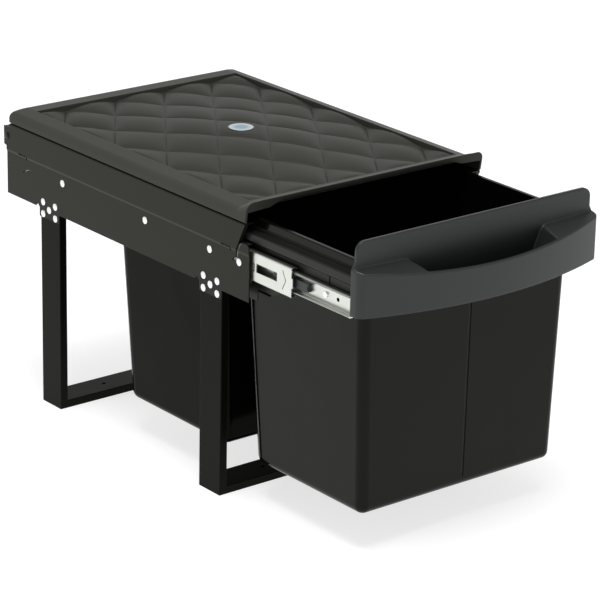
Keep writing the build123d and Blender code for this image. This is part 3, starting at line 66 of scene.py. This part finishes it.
def object_coordinates(tree, scale=(1.0, 1.0, 1.0)):
    """Object coordinates in metres, stretched by scale."""
    source = tree.nodes.new("ShaderNodeTexCoord")
    mapping = tree.nodes.new("ShaderNodeMapping")
    mapping.inputs["Scale"].default_value = scale
    tree.links.new(source.outputs["Object"], mapping.inputs["Vector"])
    return mapping.outputs["Vector"]


def noise(tree, vector, scale, detail=2.0):
    """A noise texture's grey output."""
    node = tree.nodes.new("ShaderNodeTexNoise")
    node.inputs["Scale"].default_value = scale
    node.inputs["Detail"].default_value = detail
    tree.links.new(vector, node.inputs["Vector"])
    return node.outputs["Fac"]


def spread(tree, value, low, high, start=0.0, end=1.0):
    """Maps a value between start and end to one between low and high."""
    node = tree.nodes.new("ShaderNodeMapRange")
    node.inputs["From Min"].default_value = start
    node.inputs["From Max"].default_value = end
    node.inputs["To Min"].default_value = low
    node.inputs["To Max"].default_value = high
    tree.links.new(value, node.inputs["Value"])
    return node.outputs["Result"]


def tint(tree, value, dark, light):
    """A colour between dark and light by a grey value. Dark may also be a node's output."""
    node = tree.nodes.new("ShaderNodeMix")
    node.data_type = "RGBA"
    if isinstance(dark, tuple):
        node.inputs["A"].default_value = (*dark, 1.0)
    else:
        tree.links.new(dark, node.inputs["A"])
    node.inputs["B"].default_value = (*light, 1.0)
    tree.links.new(value, node.inputs["Factor"])
    return node.outputs["Result"]


def vector_math(tree, operation, vector, other=(0.0, 0.0, 0.0)):
    """A vector operation's node."""
    node = tree.nodes.new("ShaderNodeVectorMath")
    node.operation = operation
    node.inputs[1].default_value = other
    tree.links.new(vector, node.inputs[0])
    return node


def reach_from(tree, centre):
    """Distance of the surface from a centre, seen from above."""
    source = tree.nodes.new("ShaderNodeTexCoord")
    shift = vector_math(tree, "SUBTRACT", source.outputs["Object"], (centre.x, centre.y, 0.0))
    flat = vector_math(tree, "MULTIPLY", shift.outputs["Vector"], (1.0, 1.0, 0.0))
    return vector_math(tree, "LENGTH", flat.outputs["Vector"]).outputs["Value"]


def colour_and_wear(tree, shader, cloud, dark, light, wear, smooth, rough):
    """Colour from dark to light by the cloud, roughness from smooth to rough by the wear."""
    tree.links.new(tint(tree, cloud, dark, light), shader.inputs["Base Color"])
    tree.links.new(spread(tree, wear, smooth, rough), shader.inputs["Roughness"])


def rounded_bump(tree, shader, edge, height, strength, depth=0.0002):
    """Bump of this depth over edges that look rounded by the radius edge."""
    bevel = tree.nodes.new("ShaderNodeBevel")
    bevel.samples = 6
    bevel.inputs["Radius"].default_value = edge
    node = tree.nodes.new("ShaderNodeBump")
    node.inputs["Strength"].default_value = strength
    node.inputs["Distance"].default_value = depth
    tree.links.new(height, node.inputs["Height"])
    tree.links.new(bevel.outputs["Normal"], node.inputs["Normal"])
    tree.links.new(node.outputs["Normal"], shader.inputs["Normal"])


# Kinds of material
def powder_coat(name, dark, light, rough, gloss, cast):
    """Satin black paint on steel, with fine orange peel."""
    material, tree, shader = new_material(name, gloss, cast)
    place = object_coordinates(tree)
    cloud = noise(tree, place, 14.0)
    colour_and_wear(tree, shader, cloud, dark, light, cloud, rough - 0.03, rough + 0.03)
    peel = noise(tree, place, 900.0)
    rounded_bump(tree, shader, 0.0003, peel, 0.12)
    return material


def moulded_plastic(name, dark, light, rough, gloss, cast, fineness, grain, edge):
    """Moulded plastic with a grain of this fineness and strength."""
    material, tree, shader = new_material(name, gloss, cast)
    place = object_coordinates(tree)
    cloud = noise(tree, place, 9.0)
    colour_and_wear(tree, shader, cloud, dark, light, cloud, rough - 0.03, rough + 0.03)
    rounded_bump(tree, shader, edge, noise(tree, place, fineness, 3.0), grain)
    return material


def glossy_plastic(name, dark, light, rough, gloss, cast):
    """Glossy plastic whose thin walls are very slightly wavy."""
    material, tree, shader = new_material(name, gloss, cast)
    wave = noise(tree, object_coordinates(tree), 11.0, 1.0)
    scuff = noise(tree, object_coordinates(tree, (1.0, 1.0, 0.2)), 160.0, 4.0)
    colour_and_wear(tree, shader, wave, dark, light, scuff, rough - 0.03, rough + 0.05)
    rounded_bump(tree, shader, 0.0007, wave, 0.25, depth=0.004)
    return material


def plated_steel(name, dark, light, rough, marks):
    """Plated steel with rolling marks of this strength along Y."""
    material, tree, shader = new_material(name)
    shader.inputs["Metallic"].default_value = 1.0
    streak = noise(tree, object_coordinates(tree, (1.0, 0.03, 1.0)), 900.0, 3.0)
    cloud = noise(tree, object_coordinates(tree), 40.0)
    colour_and_wear(tree, shader, cloud, dark, light, streak, rough - 0.06, rough + 0.08)
    rounded_bump(tree, shader, 0.0004, streak, marks)
    return material


# Badge: radii between which it fades and its painted seat shadow begins, and its colours
BADGE_ROUGH = 0.25
BADGE_FADE = (0.006, 0.0115)
BADGE_SHADOW_RING = (0.0143, 0.0147)
BADGE_BLUE = (0.13, 0.21, 0.25)
BADGE_RIM = (0.31, 0.355, 0.37)
BADGE_SEAT_SHADOW = (0.01, 0.015, 0.02)


def badge_plastic(name):
    """Bare disc, pale blue in the middle, lighter at the rim, with a painted shadow ring where it is
    seated.
    """
    material, tree, shader = new_material(name)
    shader.inputs["Roughness"].default_value = BADGE_ROUGH
    reach = reach_from(tree, BADGE_CENTRE)
    disc = tint(tree, spread(tree, reach, 0.0, 1.0, *BADGE_FADE), BADGE_BLUE, BADGE_RIM)
    # Painted shadow of the seat: a dark ring at the disc's edge
    seat_shadowed = tint(tree, spread(tree, reach, 0.0, 1.0, *BADGE_SHADOW_RING), disc, BADGE_SEAT_SHADOW)
    tree.links.new(seat_shadowed, shader.inputs["Base Color"])
    return material


# Casts of the gloss, and the materials
OLIVE = (0.96, 1.0, 0.68)
WARM = (0.985, 1.0, 0.86)
COOL = (0.96, 1.0, 1.0)
PAINT = powder_coat(
    "satin_black_paint", dark=(0.005, 0.005, 0.0046), light=(0.007, 0.007, 0.0065),
    rough=0.36, gloss=0.18, cast=OLIVE)
# Darker, duller copy of the satin paint: painted shade on the legs and foot bars
SHADED_LEG_PAINT = powder_coat(
    "shaded_leg_paint", dark=(0.0014, 0.0014, 0.0013), light=(0.002, 0.002, 0.0019),
    rough=0.42, gloss=0.075, cast=OLIVE)
RAIL_PAINT = powder_coat(
    "rail_paint", dark=(0.006, 0.006, 0.006), light=(0.008, 0.008, 0.008),
    rough=0.36, gloss=0.26, cast=WARM)
LID_BORDER = moulded_plastic(
    "lid_border_plastic", dark=(0.0335, 0.034, 0.0295), light=(0.0385, 0.039, 0.034),
    rough=0.45, gloss=0.13, cast=WARM, fineness=2200.0, grain=0.18, edge=0.0012)
LID_FIELD = moulded_plastic(
    "lid_plastic", dark=(0.0238, 0.0243, 0.021), light=(0.0278, 0.0283, 0.0245),
    rough=0.47, gloss=0.11, cast=WARM, fineness=2200.0, grain=0.18, edge=0.0012)
PANEL_PLASTIC = moulded_plastic(
    "front_panel_plastic", dark=(0.0064, 0.0069, 0.0071), light=(0.0084, 0.009, 0.0093),
    rough=0.44, gloss=0.51, cast=COOL, fineness=1800.0, grain=0.3, edge=0.003)
LEVER_PLASTIC = moulded_plastic(
    "lever_plastic", dark=(0.012, 0.012, 0.013), light=(0.018, 0.018, 0.019),
    rough=0.4, gloss=0.5, cast=COOL, fineness=1500.0, grain=0.2, edge=0.0004)
BIN_PLASTIC = glossy_plastic(
    "glossy_bin_plastic", dark=(0.0015, 0.0015, 0.0014), light=(0.0022, 0.0022, 0.002),
    rough=0.11, gloss=0.138, cast=WARM)
# Darker, duller copy of the bin plastic: painted shade on the rear bin, which the frame shades
SHADED_REAR_BIN_PLASTIC = glossy_plastic(
    "shaded_rear_bin_plastic", dark=(0.0012, 0.0012, 0.0011), light=(0.0018, 0.0018, 0.0017),
    rough=0.14, gloss=0.05, cast=OLIVE)
ZINC = plated_steel(
    "zinc_steel", dark=(0.61, 0.63, 0.59), light=(0.72, 0.74, 0.69), rough=0.3, marks=0.1)
# Zinc made much darker for the outer members: painted shade where they show through the relief slots
SHADED_OUTER_STEEL = plated_steel(
    "shaded_outer_member_steel", dark=(0.22, 0.22, 0.22), light=(0.3, 0.3, 0.3), rough=0.4, marks=0.1)
CAGE_STEEL = plated_steel(
    "cage_steel", dark=(0.6, 0.6, 0.6), light=(0.7, 0.7, 0.69), rough=0.38, marks=0.1)
RIVET_STEEL = plated_steel(
    "rivet_steel", dark=(0.9, 0.9, 0.9), light=(0.95, 0.95, 0.95), rough=0.32, marks=0.05)
BALL_STEEL = plated_steel(
    "ball_steel", dark=(0.8, 0.8, 0.82), light=(0.86, 0.86, 0.87), rough=0.12, marks=0.02)
BADGE_PLASTIC = badge_plastic("badge_plastic")


def dress(material, *names):
    """Gives CAD nodes their material."""
    for name in names:
        mesh = NODES[name].data
        mesh.materials.clear()
        mesh.materials.append(material)


def pair(*stems):
    """The left and right nodes of each stem."""
    return [stem + side for stem in stems for side in ("_left", "_right")]


dress(PAINT, *pair("side_panel"), "rear_cross_rail", "cross_rail_rivets")
dress(SHADED_LEG_PAINT, *pair("front_leg", "rear_leg"), "front_foot_bar", "rear_foot_bar")
dress(RAIL_PAINT, *pair("drawer_rail"), "drawer_mid_brace", "drawer_rear_brace")
dress(LID_BORDER, "lid")
dress(PANEL_PLASTIC, "front_panel")
dress(BIN_PLASTIC, "front_bin")
dress(SHADED_REAR_BIN_PLASTIC, "rear_bin")
dress(LEVER_PLASTIC, *pair("release_lever"))
dress(SHADED_OUTER_STEEL, *pair("slide_outer"))
dress(ZINC, *pair("slide_middle", "slide_inner"))
dress(CAGE_STEEL, *pair("outer_ball_cage", "inner_ball_cage"))
dress(BALL_STEEL, *pair("outer_balls", "inner_balls"))
dress(RIVET_STEEL, *pair("leg_rivets", "slide_rivets", "slide_screws", "lever_pivot"))
dress(RIVET_STEEL, "lid_screws", "front_panel_screws")
dress(BADGE_PLASTIC, "lid_badge")


# Quilt of the lid: half cells from its middle to its edge, their size, its middle, and grid steps to a cell
HALF_CELLS = 4
SEAM_X = 0.0364
SEAM_Y = 0.0518
QUILT_Y = 0.007
STEPS = 16

# Field of the lid, which lies between low walls, and the skin left under the quilt
FIELD_HALF = LID_HIGH.x - 0.0215
FIELD_FRONT_Y = LID_LOW.y + 0.0234
FIELD_REAR_Y = LID_HIGH.y - 0.027
FIELD_WALL_Z = LID_HIGH.z - 0.0127
FIELD_UNDER_Z = FIELD_WALL_Z - 0.0025
LID_SKIN = 0.0022

# Heights of the padding: the dome that its seams follow, its pillows, and more near the border
QUILT_EDGE_Z = FIELD_WALL_Z - 0.0005
QUILT_RISE = 0.0095
DOME_POWER = 1.9
PILLOW = 0.0042
RIM_PILLOW = 0.002
RIM_POWER = 6
PUFF = 0.55

# Roll of the padding's edge, down to the foot of the wall
FOOT_Z = FIELD_WALL_Z - 0.0012
ROLL = 0.005
ROLL_RINGS = 4
BEHIND_WALL = 0.0003
UP_WALL = 0.0004

# Flat seat of the badge in the padding
BADGE_BED = BADGE_HIGH.z - 0.0005
BADGE_FLAT = 0.0165
BADGE_BLEND = 0.014
SEAT_REACH = 0.0175
SEAT_DEPTH = 0.003

# Chamfer of the skirt's lower edge
SKIRT_X = LID_HIGH.x - 0.0006
SKIRT_GROOVE = 0.0018

# Tolerances: metres to a face and to the quilt's edge, and cells to a seam
TOUCH = 0.0002
ALMOST = 0.0001
ON_SEAM = 0.001


def quilt_base(x, y):
    """Height of the domed field along its seams, with y counted from the quilt's middle."""
    across = 1.0 - (x / (HALF_CELLS * SEAM_X)) ** 2
    along = 1.0 - (y / (HALF_CELLS * SEAM_Y)) ** 2
    return QUILT_EDGE_Z + QUILT_RISE * (max(across, 0.0) * max(along, 0.0)) ** DOME_POWER


def wall_gap(x, y):
    """Distance to the nearest wall round the field."""
    return min(FIELD_HALF - abs(x), FIELD_REAR_Y - y, y - FIELD_FRONT_Y)


def within_field(place):
    """Whether a point lies inside the walls of the lid's field, seen from above."""
    return wall_gap(place.x, place.y) > TOUCH


def roll_share(gap):
    """How much of the height above the wall's foot is left this far from the wall."""
    share = min(max(gap / ROLL, 0.0), 1.0)
    return math.sqrt(1.0 - (1.0 - share) ** 2)


def cell_swell(a, b):
    """Swell of a pillow from 0 on its seams to 1 in its middle."""
    across = a - math.floor(a)
    along = b - math.floor(b)
    return (16.0 * across * (1.0 - across) * along * (1.0 - along)) ** PUFF


def quilt_height(a, b):
    """Height of the padded-look field at quilt coordinates whose whole numbers are seams."""
    x = SEAM_X * (a - b)
    y = SEAM_Y * (a + b - 1.0)
    base = quilt_base(x, y)
    border = (1.0 - (base - QUILT_EDGE_Z) / QUILT_RISE) ** RIM_POWER
    z = base + (PILLOW + RIM_PILLOW * border) * cell_swell(a, b)
    z = FOOT_Z + (z - FOOT_Z) * roll_share(wall_gap(x, y + QUILT_Y))
    reach = math.hypot(x - BADGE_CENTRE.x, y + QUILT_Y - BADGE_CENTRE.y)
    share = min(max((reach - BADGE_FLAT) / BADGE_BLEND, 0.0), 1.0)
    share = share * share * (3.0 - 2.0 * share)
    return BADGE_BED + (z - BADGE_BED) * share


def from_seam(i):
    """Quilt coordinate of a grid line; the lines stand closer near the seams."""
    whole, part = divmod(i, STEPS)
    return whole + 0.5 - 0.5 * math.cos(math.pi * part / STEPS)


def quilt_point(i, j):
    """Grid point of the quilt."""
    a = from_seam(i)
    b = from_seam(j)
    return Vector((SEAM_X * (a - b), QUILT_Y + SEAM_Y * (a + b - 1.0), quilt_height(a, b)))


def add_quilt(mesh):
    """Adds the quilted field to the lid's mesh, its seams along the grid lines."""
    span = HALF_CELLS * STEPS
    points = {}
    for i in range(-span, span + STEPS + 1):
        for j in range(-span, span + STEPS + 1):
            if abs(i - j) <= span and abs(i + j - STEPS) <= span:
                points[i, j] = mesh.verts.new(quilt_point(i, j))
    faces = []
    for i, j in points:
        ring = [points.get(key) for key in ((i, j), (i + 1, j), (i + 1, j + 1), (i, j + 1))]
        ring = [vertex for vertex in ring if vertex is not None]
        if len(ring) >= 3:
            faces.append(mesh.faces.new(ring))
    for i, j in points:
        corners = [points.get(key) for key in ((i, j), (i, j + 1), (i - 1, j + 1))]
        if (i - 1, j) not in points and None not in corners:
            faces.append(mesh.faces.new(corners))
    return faces


def toward_wall(place, share):
    """The point this share of the way from the quilt's straight edge to the wall."""
    end = place.copy()
    if abs(place.x) > HALF_CELLS * SEAM_X - ALMOST:
        end.x = math.copysign(FIELD_HALF, place.x)
    if place.y > QUILT_Y + HALF_CELLS * SEAM_Y - ALMOST:
        end.y = FIELD_REAR_Y
    if place.y < QUILT_Y - HALF_CELLS * SEAM_Y + ALMOST:
        end.y = FIELD_FRONT_Y
    return place.lerp(end, share)


def rolled_edge(vertex):
    """Points from the quilt's edge down to the wall's foot, the last one behind the wall."""
    place = vertex.co
    full = (place.z - FOOT_Z) / roll_share(wall_gap(place.x, place.y))
    line = []
    for ring in range(1, ROLL_RINGS + 1):
        point = toward_wall(place, math.sin(math.pi * ring / (2 * ROLL_RINGS)))
        point.z = FOOT_Z + full * roll_share(wall_gap(point.x, point.y))
        line.append(point)
    last = toward_wall(place, 1.0)
    last += BEHIND_WALL * (last - place).normalized()
    line.append(Vector((last.x, last.y, FIELD_WALL_Z + UP_WALL)))
    return line


def add_rolled_edge(mesh, faces):
    """Rolls the quilt's straight edges down to the wall round the field."""
    edges = [e for e in dict.fromkeys(e for f in faces for e in f.edges) if len(e.link_faces) == 1]
    lines = {}
    for vertex in dict.fromkeys(v for e in edges for v in e.verts):
        lines[vertex] = [vertex] + [mesh.verts.new(point) for point in rolled_edge(vertex)]
    made = []
    for edge in edges:
        one, two = (lines[vertex] for vertex in edge.verts)
        for k in range(len(one) - 1):
            made.append(mesh.faces.new([one[k], two[k], two[k + 1], one[k + 1]]))
    return made


def open_field(mesh):
    """Takes the smooth field and the badge's seat off, and lets the underside follow the quilt."""
    spare = []
    for face in mesh.faces:
        place = face.calc_center_median()
        near = math.hypot(place.x - BADGE_CENTRE.x, place.y - BADGE_CENTRE.y) < SEAT_REACH
        upper = place.z > FIELD_WALL_Z - TOUCH and face.normal.z > 0.5
        seat = near and place.z > BADGE_BED - SEAT_DEPTH and face.normal.z > -0.5
        if within_field(place) and (upper or seat):
            spare.append(face)
    bmesh.ops.delete(mesh, geom=spare, context="FACES")
    for vertex in mesh.verts:
        if within_field(vertex.co) and vertex.co.z > FIELD_UNDER_Z - TOUCH:
            vertex.co.z = quilt_base(vertex.co.x, vertex.co.y - QUILT_Y) - LID_SKIN


def chamfer_skirt(mesh):
    """Raises the outer lower edge of the skirt, which leaves a dark line above the side panel."""
    for vertex in mesh.verts:
        if abs(vertex.co.z - LID_LOW.z) < TOUCH and abs(vertex.co.x) > SKIRT_X:
            vertex.co.z += SKIRT_GROOVE


def seam_coordinates(place):
    """Quilt coordinates of a point, whose whole numbers are seams."""
    u = place.x / SEAM_X
    v = (place.y - QUILT_Y) / SEAM_Y
    return (u + v + 1.0) / 2.0, (v - u + 1.0) / 2.0


def on_seam(edge):
    """Whether an edge lies on a seam of the quilt."""
    first, second = (seam_coordinates(vertex.co) for vertex in edge.verts)
    return any(abs(a - round(a)) < ON_SEAM and abs(a - b) < ON_SEAM for a, b in zip(first, second))


def build_lid():
    """The CAD lid with its smooth field exchanged for the quilted one."""
    mesh = bmesh.new()
    mesh.from_mesh(NODES["lid"].data)
    open_field(mesh)
    chamfer_skirt(mesh)
    faces = add_quilt(mesh)
    faces += add_rolled_edge(mesh, faces)
    bmesh.ops.recalc_face_normals(mesh, faces=faces)
    if sum(face.normal.z for face in faces) < 0.0:
        bmesh.ops.reverse_faces(mesh, faces=faces)
    for face in faces:
        face.smooth = True
        face.material_index = 1
        for edge in face.edges:
            if on_seam(edge):
                edge.smooth = False
    data = bpy.data.meshes.new("quilted_lid")
    mesh.to_mesh(data)
    mesh.free()
    data.materials.append(LID_BORDER)
    data.materials.append(LID_FIELD)
    lid = bpy.data.objects.new("quilted_lid", data)
    bpy.context.scene.collection.objects.link(lid)
    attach(lid, "frame")
    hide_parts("lid")


# Floor, lamp and sky: elevations are given by their sine
FLOOR_HALF = 8.0
FLOOR_ROUGH = 0.9
FLOOR_GREY = (0.38, 0.38, 0.38)
FLOOR_PALE = (0.4, 0.4, 0.4)
FLOOR_GLOW = 0.72
LAMP_PLACE = Vector((-0.4, -0.5, 3.2))
LAMP_SIDE = 1.6
LAMP_WATTS = 105.0
SKY_GREYS = ((0.0, 1.0), (0.2, 0.88), (0.38, 0.66), (0.7, 0.32), (1.0, 0.18))


def build_floor():
    """Plain pale floor, lit evenly from within like a light table."""
    mesh = bpy.data.meshes.new("floor")
    half = FLOOR_HALF
    corners = [(-half, -half, 0), (half, -half, 0), (half, half, 0), (-half, half, 0)]
    mesh.from_pydata(corners, [], [(0, 1, 2, 3)])
    floor = bpy.data.objects.new("floor", mesh)
    bpy.context.scene.collection.objects.link(floor)
    material, tree, shader = new_material("floor_white")
    shader.inputs["Roughness"].default_value = FLOOR_ROUGH
    cloud = noise(tree, object_coordinates(tree), 3.0)
    tree.links.new(tint(tree, cloud, FLOOR_GREY, FLOOR_PALE), shader.inputs["Base Color"])
    shader.inputs["Emission Color"].default_value = (1.0, 1.0, 1.0, 1.0)
    shader.inputs["Emission Strength"].default_value = FLOOR_GLOW
    mesh.materials.append(material)


def build_lamp():
    """Square softbox overhead, aimed at the origin."""
    light = bpy.data.lights.new("overhead", "AREA")
    light.shape = "SQUARE"
    light.size = LAMP_SIDE
    light.energy = LAMP_WATTS
    lamp = bpy.data.objects.new("overhead", light)
    lamp.location = LAMP_PLACE
    lamp.rotation_euler = (-LAMP_PLACE).to_track_quat("-Z", "Y").to_euler()
    bpy.context.scene.collection.objects.link(lamp)


def build_sky():
    """Surround that is white at the horizon and darker above."""
    world = bpy.data.worlds.new("studio")
    world.use_nodes = True
    tree = world.node_tree
    source = tree.nodes.new("ShaderNodeTexCoord")
    split = tree.nodes.new("ShaderNodeSeparateXYZ")
    ramp = tree.nodes.new("ShaderNodeValToRGB")
    tree.links.new(source.outputs["Generated"], split.inputs["Vector"])
    tree.links.new(split.outputs["Z"], ramp.inputs["Fac"])
    tree.links.new(ramp.outputs["Color"], tree.nodes["Background"].inputs["Color"])
    elements = ramp.color_ramp.elements
    for height, _ in SKY_GREYS[1:-1]:
        elements.new(height)
    for element, (_, grey) in zip(elements, SKY_GREYS):
        element.color = (grey, grey, grey, 1.0)
    bpy.context.scene.world = world


# Camera, solved from the photograph's edges: angles in degrees, focal length in pixels of the photograph
CAMERA_PLACE = (-2.02597, -2.62852, 1.35659)
CAMERA_YAW = 38.794
CAMERA_PITCH = 19.998
CAMERA_ROLL = 1.1663
FOCAL_PIXELS = 2951.61
PHOTO_PIXELS = 600.0
SENSOR_WIDTH = 36.0


def build_camera():
    """Camera at the photograph's place."""
    yaw, pitch, roll = (math.radians(v) for v in (CAMERA_YAW, CAMERA_PITCH, CAMERA_ROLL))
    ahead = Vector((math.sin(yaw) * math.cos(pitch), math.cos(yaw) * math.cos(pitch), -math.sin(pitch)))
    level = Vector((math.cos(yaw), -math.sin(yaw), 0.0))
    above = level.cross(ahead)
    across = level * math.cos(roll) + above * math.sin(roll)
    up = above * math.cos(roll) - level * math.sin(roll)
    data = bpy.data.cameras.new("camera")
    data.sensor_width = SENSOR_WIDTH
    data.lens = SENSOR_WIDTH * FOCAL_PIXELS / PHOTO_PIXELS
    data.clip_start = 0.05
    data.clip_end = 60.0
    camera = bpy.data.objects.new("camera", data)
    turn = Matrix((across, up, -ahead)).transposed().to_4x4()
    camera.matrix_world = Matrix.Translation(CAMERA_PLACE) @ turn
    bpy.context.scene.collection.objects.link(camera)
    bpy.context.scene.camera = camera


build_lid()
build_floor()
build_sky()
build_lamp()
build_camera()
bpy.context.scene.view_settings.view_transform = "Standard"
